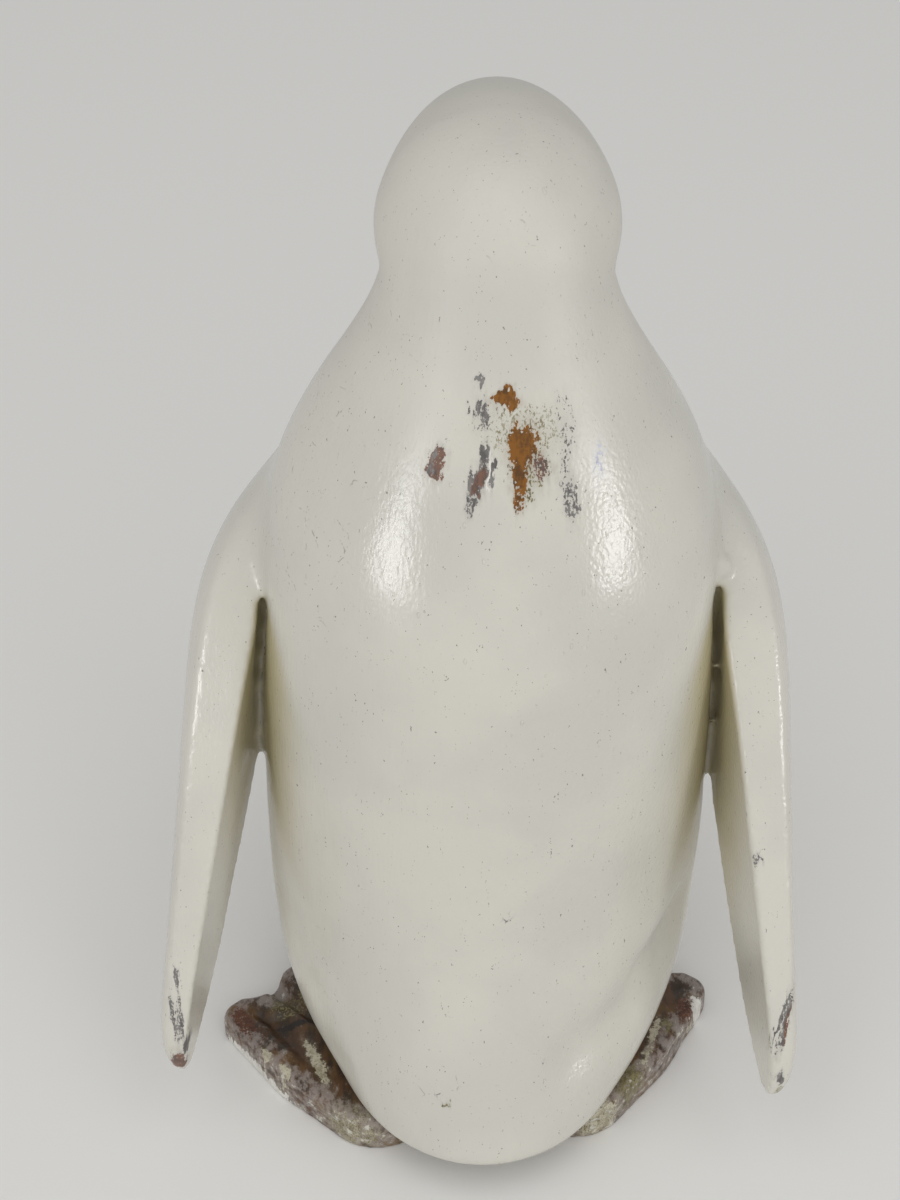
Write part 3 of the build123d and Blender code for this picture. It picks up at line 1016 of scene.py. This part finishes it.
@dataclass
class PaintedSkin:
    """The torso, the head and the flippers under their one coat of cream paint."""

    SHADE_AND_YELLOWING = "shade_and_yellowing"  # mesh attribute: 1 where a surface faces another piece at close range; there the paint is yellowed and darkened as painted shade

    frame: Mapping[str, Any]
    finish: CreamPaint
    work: HandWork
    voxel: float = 0.001
    even_rounds: int = 10
    filler_rounds: int = 160
    shade_and_yellowing_reach: float = 0.022
    shade_and_yellowing_top: float = 0.19  # height of the armpits, above which the paint is neither yellowed nor shaded
    wave_depth: float = 0.0007
    wave_length: float = 0.028
    nib_density: float = 16000.0  # nibs in a square metre, where they are thickest
    nib_radius: float = 0.0005
    nib_centre: Triple = (-0.028, 0.046, 0.195)
    nib_spread: float = 0.02
    seed: int = 7
    drops: tuple[Drop, ...] = (
        Drop((-59.5, 13.5, 178.5), (1.7, 2.2, 4.0)),
        Drop((-54, -1, 158), (5.5, 6.5, 7)),
        Drop((51, -1, 157.5), (5.5, 6.5, 7)),
    )
    joints: tuple[Joint, ...] = (
        Joint("head", 0.024, Vector((0, 0.004, 0.26)), Vector((0, 0.018, 0.268)), 0.08),
        Joint("left_flipper", 0.026, Vector((0, 0, 0.172)), Vector((0, 0, 0.192)), 0.03, 0.0026),
        Joint("right_flipper", 0.026, Vector((0, 0, 0.178)), Vector((0, 0, 0.198)), 0.03, 0.0026),
    )
    hollows: tuple[Hollow, ...] = (
        Hollow(((-55, 28, 62), (-47, 42, 55), (-42, 49, 47), (-35, 55, 45), (-29, 60, 44)), 0.0115, 0.0042),
        Hollow(((52, 29, 63), (49, 35, 50), (45, 42, 47), (42, 46, 39), (38, 50, 28)), 0.0115, 0.0016),
    )

    def build(self) -> list[bpy.types.Object]:
        """Builds the skin as one form, then cuts it at the joints.

        Returns:
            The finished pieces.
        """
        names = ("body", *(joint.node for joint in self.joints))
        solids = {name: Solid(self.frame["nodes"][name]) for name in names}
        carved = {name: Form.of([solid.mesh], self.voxel) for name, solid in solids.items()}
        for hollow in self.hollows:
            hollow.carve(carved["body"])
        for joint in self.joints:
            if joint.slit:
                joint.open_slit(carved["body"], solids[joint.node])
                joint.open_slit(carved[joint.node], solids["body"])
        drops = [drop.mesh() for drop in self.drops]
        form = Form.of([*(part.store() for part in carved.values()), *drops], self.voxel)
        form.even_out(self.even_rounds)
        self._fill_joints(form, solids)
        self._mark_shade_and_yellowing(form, solids)
        whole = add_piece("skin", form.store())
        paint = self.finish.material()
        self.work.apply(
            whole,
            paint,
            wave_depth=self.wave_depth,
            wave_length=self.wave_length,
            nib_density=self.nib_density,
            nib_radius=self.nib_radius,
            nib_centre=self.nib_centre,
            nib_spread=self.nib_spread,
            seed=self.seed,
        )
        return self._cut(whole, solids, paint)

    def _fill_joints(self, form: Form, solids: Mapping[str, Solid]) -> None:
        """Rounds the form off at each joint, as filler and paint do.

        Args:
            form: The joined form.
            solids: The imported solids.
        """
        to_torso, _ = form.nearest(solids["body"].tree)
        filler = np.zeros(len(form.points))
        for joint in self.joints:
            to_piece, _ = form.nearest(solids[joint.node].tree)
            filler = np.maximum(filler, joint.filler(form.points, np.maximum(to_torso, to_piece)))
        form.relax(self.filler_rounds, form.blur(filler, 4))

    def _mark_shade_and_yellowing(self, form: Form, solids: Mapping[str, Solid]) -> None:
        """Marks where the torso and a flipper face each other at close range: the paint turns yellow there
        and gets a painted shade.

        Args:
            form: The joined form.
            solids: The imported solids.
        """
        shade_and_yellowing = np.zeros(len(form.points))
        to_torso, at_torso = form.nearest(solids["body"].tree)
        for name in ("left_flipper", "right_flipper"):
            to_flipper, at_flipper = form.nearest(solids[name].tree)
            on_flipper = to_flipper < to_torso
            distance = np.where(on_flipper, to_torso, to_flipper)
            facing = np.where(on_flipper, at_torso, at_flipper)
            near = smoothstep(self.shade_and_yellowing_reach, MM, distance)
            shade_and_yellowing = np.maximum(shade_and_yellowing, near * smoothstep(0.2, 0.8, facing))
        shade_and_yellowing *= form.points[:, 2] < self.shade_and_yellowing_top
        form.mark(self.SHADE_AND_YELLOWING, form.blur(shade_and_yellowing, 6))

    def _cut(
        self, whole: bpy.types.Object, solids: Mapping[str, Solid], paint: bpy.types.Material
    ) -> list[bpy.types.Object]:
        """Cuts the skin along the joints into closed pieces.

        Args:
            whole: The joined skin.
            solids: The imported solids.
            paint: The material of the pieces.

        Returns:
            One piece for each solid.
        """
        form = Form(whole.data)
        to_torso, _ = form.nearest(solids["body"].tree)
        cutter = JointCutter(form, paint)
        for joint in self.joints:
            to_piece, _ = form.nearest(solids[joint.node].tree)
            cutter.score(joint.node, to_piece - to_torso)
        pieces = [cutter.piece(joint.node) for joint in self.joints]
        pieces.append(cutter.piece("body"))
        bpy.data.objects.remove(whole)
        for piece in pieces:
            hold_inside(piece.data, list(solids))
            hand_in(piece, piece.name.removesuffix("_skin"))
        return pieces


class JointCutter:
    """Cuts one skin into closed pieces along smooth lines, and keeps the shading across the cuts."""

    TORSO = 0

    def __init__(self, form: Form, paint: bpy.types.Material) -> None:
        """Copies the skin's mesh.

        Args:
            form: The skin.
            paint: The material of the pieces.
        """
        self.paint = paint
        self.mesh = bmesh.new()
        self.mesh.from_mesh(form.mesh)
        self.outward = self.mesh.verts.layers.float_vector.new("outward")
        self.owner = self.mesh.faces.layers.int.new("owner")
        self.owners = {"body": self.TORSO}
        for vert in self.mesh.verts:
            vert[self.outward] = vert.normal
        self.mesh.verts.ensure_lookup_table()
        self.start_count = len(self.mesh.verts)

    def score(self, node: str, level: np.ndarray) -> None:
        """Cuts faces along the line where a level is 0, and gives the low side to a node.

        Args:
            node: The node on the low side.
            level: One value for each point of the whole skin.
        """
        layer = self.mesh.verts.layers.float.new(node)
        for vert, value in zip(self.mesh.verts[: self.start_count], level):
            vert[layer] = value
        for edge in list(self.mesh.edges):
            first, second = edge.verts
            if first[layer] * second[layer] < 0:
                share = first[layer] / (first[layer] - second[layer])
                made = bmesh.utils.edge_split(edge, first, share)[1]
                made[layer] = 0.0
        mark = self.owners.setdefault(node, len(self.owners))
        for face in list(self.mesh.faces):
            on_line = [vert for vert in face.verts if vert[layer] == 0.0]
            if len(on_line) == 2 and not self.mesh.edges.get(on_line):
                bmesh.utils.face_split(face, *on_line)
        for face in self.mesh.faces:
            if sum(vert[layer] for vert in face.verts) < 0:
                face[self.owner] = mark
        self.mesh.verts.ensure_lookup_table()

    def piece(self, node: str) -> bpy.types.Object:
        """Takes one piece out of the skin and closes its cuts.

        Args:
            node: The node that the piece stands for.

        Returns:
            The piece.
        """
        part = self.mesh.copy()
        owner = part.faces.layers.int["owner"]
        other = [face for face in part.faces if face[owner] != self.owners[node]]
        bmesh.ops.delete(part, geom=other, context="FACES")
        rim = [edge for edge in part.edges if edge.is_boundary]
        caps = bmesh.ops.holes_fill(part, edges=rim, sides=0)["faces"]
        bmesh.ops.poke(part, faces=caps)
        bmesh.ops.recalc_face_normals(part, faces=part.faces)
        outward = part.verts.layers.float_vector["outward"]
        normals = [vert[outward].copy() for vert in part.verts]
        mesh = bpy.data.meshes.new(f"{node}_skin")
        part.to_mesh(mesh)
        part.free()
        mesh.polygons.foreach_set("material_index", np.zeros(len(mesh.polygons), dtype=np.int32))
        mesh.materials.append(self.paint)
        made = add_piece(f"{node}_skin", mesh)
        mesh.normals_split_custom_set_from_vertices(normals)
        for name in ("outward", "owner", *self.owners):
            if name in mesh.attributes:
                mesh.attributes.remove(mesh.attributes[name])
        return made


@dataclass
class Foot:
    """One carved foot: a webbed sole with a raised rim around its hollowed upper side."""

    RIM = "rim"  # mesh attribute: 1 on the rim and the walls, 0 in the hollow
    WALL = "wall"  # mesh attribute: 1 on the walls

    frame: Mapping[str, Any]
    finish: bpy.types.Material
    work: HandWork
    side: str
    seed: int
    voxel: float = 0.0006
    rim_width: float = 0.0055
    hollow_run: float = 0.0045
    hollow_depth: float = 0.0026
    torso_reach: float = 0.03  # how far above the foot the torso counts as resting on it
    even_rounds: int = 8
    worn_rounds: int = 6
    wave_depth: float = 0.0008
    wave_length: float = 0.009

    def build(self) -> bpy.types.Object:
        """Builds the foot in place of its solid.

        Returns:
            The finished foot.
        """
        node = f"{self.side}_foot"
        form = Form.of([Solid(self.frame["nodes"][node]).mesh], self.voxel)
        form.even_out(self.even_rounds)
        form.relax(self.worn_rounds, 1.0)
        self._hollow(form)
        piece = add_piece(f"{node}_carving", form.store())
        waves = {"wave_depth": self.wave_depth, "wave_length": self.wave_length}
        self.work.apply(piece, self.finish, **waves, seed=self.seed)
        hold_inside(piece.data, [node])
        hand_in(piece, node)
        return piece

    def _hollow(self, form: Form) -> None:
        """Sinks the upper side inside the rim, except where the torso rests on it.

        Args:
            form: The foot's form.
        """
        normals = form.normals()
        wall = normals[:, 2] < 0.5
        walls = BVHTree.FromPolygons(*self._wall_faces(form, wall))
        inset, _ = form.nearest(walls)
        torso = Solid(self.frame["nodes"]["body"]).tree
        up = Vector((0.0, 0.0, 1.0))
        hits = [torso.ray_cast(point, up, self.torso_reach)[0] for point in form.points]
        covered = np.array([hit is not None for hit in hits])
        bare = form.blur(1.0 - covered.astype(float), 24)
        top = smoothstep(0.55, 0.9, normals[:, 2])
        sunk = smoothstep(self.rim_width, self.rim_width + self.hollow_run, inset) * top
        form.points[:, 2] -= self.hollow_depth * sunk * bare
        rim = np.where(wall, 1.0, 1.0 - smoothstep(self.rim_width * 0.5, self.rim_width * 1.3, inset))
        form.mark(self.RIM, form.blur(rim, 4))
        form.mark(self.WALL, form.blur(wall.astype(float), 2))

    def _wall_faces(self, form: Form, wall: np.ndarray) -> tuple[list[Triple], list[list[int]]]:
        """The faces of the side walls.

        Args:
            form: The foot's form.
            wall: Which points are on a wall or on the sole.

        Returns:
            All points, and the faces whose points are all on a wall.
        """
        faces = [list(face.vertices) for face in form.mesh.polygons]
        return [tuple(point) for point in form.points], [face for face in faces if wall[face].all()]


@dataclass
class Face:
    """The beak and the bead eyes, which the photograph's side doesn't show."""

    frame: Mapping[str, Any]
    beak_finish: bpy.types.Material
    bead: BlackBead
    work: HandWork
    voxel: float = 0.0005
    even_rounds: int = 8
    wave_depth: float = 0.0005
    wave_length: float = 0.006
    seed: int = 23

    def build(self) -> list[bpy.types.Object]:
        """Builds the beak and the eyes in place of their solids.

        Returns:
            The finished pieces.
        """
        form = Form.of([Solid(self.frame["nodes"]["beak"]).mesh], self.voxel)
        form.even_out(self.even_rounds)
        beak = add_piece("beak_carving", form.store())
        waves = {"wave_depth": self.wave_depth, "wave_length": self.wave_length}
        self.work.apply(beak, self.beak_finish, **waves, seed=self.seed)
        hold_inside(beak.data, ["beak"])
        hand_in(beak, "beak")
        bead = self.bead.material()
        return [beak, *(self._eye(side, bead) for side in ("left", "right"))]

    def _eye(self, side: str, bead: bpy.types.Material) -> bpy.types.Object:
        """One round bead in the middle of the eye's solid.

        Args:
            side: Left or right.
            bead: The bead's material.

        Returns:
            The bead.
        """
        low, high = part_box(f"{side}_eye")
        ball = bmesh.new()
        bmesh.ops.create_icosphere(ball, subdivisions=4, radius=(high.z - low.z) / 2)
        bmesh.ops.translate(ball, vec=(low + high) / 2, verts=ball.verts)
        mesh = bpy.data.meshes.new(f"{side}_bead")
        ball.to_mesh(mesh)
        ball.free()
        mesh.materials.append(bead)
        piece = add_piece(f"{side}_bead", mesh)
        hand_in(piece, f"{side}_eye")
        return piece


@dataclass
class Joinery:
    """The hidden dowels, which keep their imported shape."""

    frame: Mapping[str, Any]
    finish: TurnedWood

    def dress(self) -> None:
        """Gives every dowel its wood."""
        wood = self.finish.material()
        for name, node in self.frame["nodes"].items():
            if "dowel" in name:
                node.data.materials.clear()
                node.data.materials.append(wood)
                log.info("%s: turned wood", name)


@dataclass(frozen=True)
class SoftBox:
    """A rectangular soft lamp."""

    name: str
    place: Triple
    size: tuple[float, float]
    power: float  # in watts

    def build(self, aim: Vector) -> None:
        """Sets the lamp up, turned to a place.

        Args:
            aim: The place that it lights.
        """
        lamp = bpy.data.lights.new(self.name, "AREA")
        lamp.shape = "RECTANGLE"
        lamp.size, lamp.size_y = self.size
        lamp.energy = self.power
        holder = bpy.data.objects.new(self.name, lamp)
        holder.location = self.place
        holder.rotation_euler = (aim - Vector(self.place)).to_track_quat("-Z", "Y").to_euler()
        bpy.context.scene.collection.objects.link(holder)


@dataclass
class Studio:
    """A pale floor, soft lamps and the camera behind the figure."""

    sheet: PaleSheet
    floor_half: float = 6.0
    target: Vector = field(default_factory=lambda: Vector((0.0084, 0.0067, 0.160)))
    distance: float = 0.672
    elevation: float = 43.0
    roll: float = 0.6
    lens: float = 79.5
    sensor: float = 36.0
    lamp_aim: Triple = (0.0, 0.0, 0.16)
    lamps: tuple[SoftBox, ...] = (
        SoftBox("left_box", (0.90, 1.10, 0.12), (0.30, 0.28), 2.8),
        SoftBox("right_box", (-1.10, 0.85, 0.12), (0.30, 0.26), 2.8),
        SoftBox("top_box", (0.00, 0.80, 1.60), (2.00, 2.00), 12.5),
    )
    sky: Colour = (1.0, 1.0, 1.0, 1.0)
    sky_strength: float = 0.45

    def build(self) -> None:
        """Builds the floor, the lamps, the sky and the camera."""
        self._floor()
        for lamp in self.lamps:
            lamp.build(Vector(self.lamp_aim))
        self._sky()
        self._camera()
        bpy.context.scene.view_settings.view_transform = "Standard"

    def _floor(self) -> None:
        """Lays the pale sheet."""
        sheet = bmesh.new()
        bmesh.ops.create_grid(sheet, x_segments=1, y_segments=1, size=self.floor_half)
        mesh = bpy.data.meshes.new("floor")
        sheet.to_mesh(mesh)
        sheet.free()
        mesh.materials.append(self.sheet.material())
        add_piece("floor", mesh)

    def _sky(self) -> None:
        """Sets an even white surround."""
        world = bpy.data.worlds.new("surround")
        world.use_nodes = True
        background = world.node_tree.nodes["Background"]
        background.inputs["Color"].default_value = self.sky
        background.inputs["Strength"].default_value = self.sky_strength
        bpy.context.scene.world = world

    def _camera(self) -> None:
        """Sets the camera behind and above the figure."""
        lens = bpy.data.cameras.new("camera")
        lens.lens = self.lens
        lens.sensor_width = self.sensor
        angle = math.radians(self.elevation)
        back = Vector((0.0, math.cos(angle), math.sin(angle)))
        camera = bpy.data.objects.new("camera", lens)
        camera.location = self.target + back * self.distance
        aim = (-back).to_track_quat("-Z", "Y")
        camera.rotation_euler = (aim @ Euler((0, 0, math.radians(self.roll))).to_quaternion()).to_euler()
        bpy.context.scene.collection.objects.link(camera)
        bpy.context.scene.camera = camera


# Where the paint is worn, from the upper back down to the flipper tips
WORN = (
    Patch((-8, 34, 238), (10, 9, 7.5), 0, Layer.THIN_PAINT, 0.46),
    Patch((-8.8, 36, 232), (5.2, 9, 8.5), 0, Layer.OLIVE_FILM, 0.46),
    Patch((-11.6, 37, 229), (3.4, 9, 3.8), 0, Layer.OLIVE_FILM, 0.50),
    Patch((-8.4, 39, 224), (2.8, 9, 3.6), 15, Layer.OLIVE_FILM, 0.45),
    Patch((2.2, 31, 249.6), (0.9, 8, 1.5), -15, Layer.UNDERCOAT, 0.90),
    Patch((1.4, 33, 242), (2.6, 8, 4.6), 0, Layer.UNDERCOAT, 0.34),
    Patch((2.8, 33, 243.0), (0.7, 8, 2.0), -8, Layer.UNDERCOAT, 0.95),
    Patch((0.9, 33, 243.3), (0.9, 8, 2.2), 6, Layer.UNDERCOAT, 0.95),
    Patch((5.0, 32, 244), (0.5, 8, 1.6), 0, Layer.UNDERCOAT, 0.60),
    Patch((-16.4, 31, 242.5), (2.2, 9, 4.5), 0, Layer.UNDERCOAT, 0.28),
    Patch((-18, 33, 235), (2.3, 9, 5.0), 0, Layer.UNDERCOAT, 0.44),
    Patch((-17.6, 36, 227), (1.6, 9, 5.0), 0, Layer.UNDERCOAT, 0.36),
    Patch((-19.3, 38, 220.8), (2.0, 9, 5.6), 8, Layer.UNDERCOAT, 0.62),
    Patch((0.9, 36, 233), (0.8, 9, 3.6), -6, Layer.UNDERCOAT, 0.95),
    Patch((2.3, 38, 227), (2.1, 9, 4.4), -14, Layer.UNDERCOAT, 1.05),
    Patch((2.1, 38, 226.8), (1.3, 9, 3.4), -14, Layer.STAINED_WOOD, 1.15),
    Patch((3.9, 40, 220.9), (1.3, 9, 2.6), -14, Layer.UNDERCOAT, 0.85),
    Patch((-0.9, 38, 228.3), (0.5, 9, 4.4), 0, Layer.UNDERCOAT, 1.05),
    Patch((-0.1, 38, 229.4), (0.35, 9, 5.2), -2, Layer.FRESH_PAINT, 1.2, 0.25),
    Patch((-11.8, 37, 229.4), (2.4, 9, 2.9), 10, Layer.STAINED_WOOD, 0.80),
    Patch((-3.5, 32, 245.6), (3.4, 8, 2.0), 0, Layer.WOOD, 1.15, 0.35),
    Patch((-7.5, 35, 234.8), (3.6, 9, 5.2), 0, Layer.WOOD, 1.2, 0.3),
    Patch((-7.1, 38, 228.2), (1.9, 9, 4.0), 0, Layer.WOOD, 1.15, 0.4),
    Patch((-7.0, 40, 222.4), (1.2, 9, 3.8), 0, Layer.WOOD, 0.78),
    Patch((12.0, 35, 229.7), (2.1, 9, 3.9), -18, Layer.STAINED_WOOD, 1.0),
    Patch((12.8, 35, 229.8), (0.6, 9, 3.2), -12, Layer.UNDERCOAT, 0.8),
    Patch((-25.5, 32, 228.3), (1.3, 9, 5.2), 0, Layer.LILAC_PAINT, 0.55),
    Patch((79.9, 53, 64.5), (0.6, 8, 3.6), 0, Layer.UNDERCOAT, 0.80),
    Patch((81.4, 56, 51.5), (0.8, 8, 8.5), 3, Layer.UNDERCOAT, 0.75),
    Patch((79.7, 56, 51), (0.7, 8, 10.0), 0, Layer.UNDERCOAT, 0.75),
    Patch((78.6, 57, 40.5), (1.3, 8, 4.6), -8, Layer.UNDERCOAT, 1.1, 0.3),
    Patch((81.2, 56, 33), (2.3, 8, 5.0), 0, Layer.STAINED_WOOD, 1.1),
    Patch((-81.2, 62, 61), (1.1, 8, 10.5), -8, Layer.UNDERCOAT, 0.95),
    Patch((-81.6, 62, 60), (0.6, 8, 8.0), -8, Layer.STAINED_WOOD, 1.0),
    Patch((-79.4, 62, 60.5), (0.4, 8, 9.0), -11, Layer.UNDERCOAT, 1.0, 0.3),
    Patch((-81.0, 65, 40.5), (1.2, 8, 3.6), 8, Layer.UNDERCOAT, 1.0),
    Patch((-82.0, 64, 33), (1.6, 8, 3.0), 0, Layer.THIN_PAINT, 0.6),
    Patch((-71, 47, 107.4), (1.2, 4, 1.5), 0, Layer.UNDERCOAT, 0.7),
    Patch((-7, 57, 95.4), (2.0, 4, 0.5), 20, Layer.UNDERCOAT, 0.5),
    Patch((8.5, 70, 33.5), (1.0, 4, 1.0), 0, Layer.OLIVE_FILM, 0.7),
    Patch((10.6, 69, 36.4), (0.8, 4, 0.4), 0, Layer.UNDERCOAT, 0.7),
    Patch((-18.4, 65, 44.3), (1.3, 4, 0.5), -50, Layer.UNDERCOAT, 0.45),
    Patch((-18.3, 67, 38.2), (0.3, 4, 0.9), 0, Layer.UNDERCOAT, 0.8),
)

# Where fine cracks and pits are common
AGED = (
    Patch((40, 20, 205), (18, 40, 46)),
    Patch((24, 12, 255), (14, 20, 16)),
    Patch((-3, 28, 282), (9, 20, 6)),
    Patch((-55, 20, 188), (9, 20, 9)),
    Patch((-6, 60, 92), (14, 14, 10)),
    Patch((10, 66, 38), (9, 10, 9)),
    Patch((36, 45, 60), (10, 20, 30)),
    Patch((-18, 62, 42), (7, 10, 9)),
)

# What is left on the upper sides of the feet, and a painted shadow along a groove
REMAINS = (
    Patch((44.5, 40, 10), (1.7, 9.5, 8), 0, Layer.LAST_CREAM, 0.95, heading=24),
    Patch((59.2, 36.5, 10), (1.0, 2.8, 8), 0, Layer.LAST_CREAM, 1.0, heading=30),
    Patch((53.5, 42.8, 10), (1.2, 2.8, 8), 0, Layer.LAST_CREAM, 0.95, heading=30),
    Patch((53, 17, 8), (7.0, 5.0, 8), 0, Layer.OLIVE_FILM, 0.55, heading=10),
    Patch((66, 24, 8), (2.8, 6.0, 8), 0, Layer.RED_WOOD, 0.9, heading=30),
    # a painted shadow line in the groove of the left foot
    Patch((52, 25, 9), (6.0, 1.2, 8), 0, Layer.GROOVE_SHADOW, 1.1, heading=6),
    Patch((33.5, 58, 6), (9.0, 6.0, 7), 0, Layer.LAST_CREAM, 0.7),
    Patch((33.5, 58, 6), (9.0, 6.0, 7), 0, Layer.OLIVE_FILM, 0.5),
    Patch((62, 35, 1), (5.0, 17, 3.2), 0, Layer.FRESH_PAINT, 1.15, 0.4, heading=35),
    Patch((-64.5, 15.5, 6), (2.6, 3.2, 8), 0, Layer.FRESH_PAINT, 1.1),
    Patch((-63, 22, 5), (1.5, 4.5, 8), 0, Layer.LAST_CREAM, 0.95, heading=-19),
    Patch((-51.5, 27, 10), (1.3, 5.5, 8), 0, Layer.LAST_CREAM, 1.0, heading=-15),
    Patch((-48.8, 36, 10), (1.1, 4.0, 8), 0, Layer.LAST_CREAM, 0.9, heading=-15),
    Patch((-55.3, 25, 9), (1.7, 3.2, 8), 0, Layer.OLIVE_FILM, 0.9),
    Patch((-60.5, 18, 8), (2.4, 4.5, 8), 0, Layer.RED_WOOD, 1.0, heading=-19),
    Patch((-43.5, 45, 10), (4.0, 6.0, 8), 0, Layer.OLIVE_FILM, 0.8, heading=-19),
    Patch((-34, 54, 7), (8.0, 5.5, 8), 0, Layer.LAST_CREAM, 0.85),
    Patch((-31, 55, 7), (6.0, 5.0, 8), 0, Layer.OLIVE_FILM, 0.35),
)


def main() -> None:
    """Builds the figure and its studio."""
    logging.basicConfig(level=logging.INFO, format="%(message)s")
    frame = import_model()
    work = HandWork()
    brown = RubbedWood("rubbed_brown_wood", remains=REMAINS).material()
    PaintedSkin(frame, CreamPaint("cream_paint", worn=WORN, aged=AGED), work).build()
    for seed, side in enumerate(("left", "right"), start=11):
        Foot(frame, brown, work, side, seed).build()
    Face(frame, brown, BlackBead("black_bead"), work).build()
    Joinery(frame, TurnedWood("turned_wood")).dress()
    Studio(PaleSheet("pale_sheet")).build()


if __name__ == "__main__":
    main()
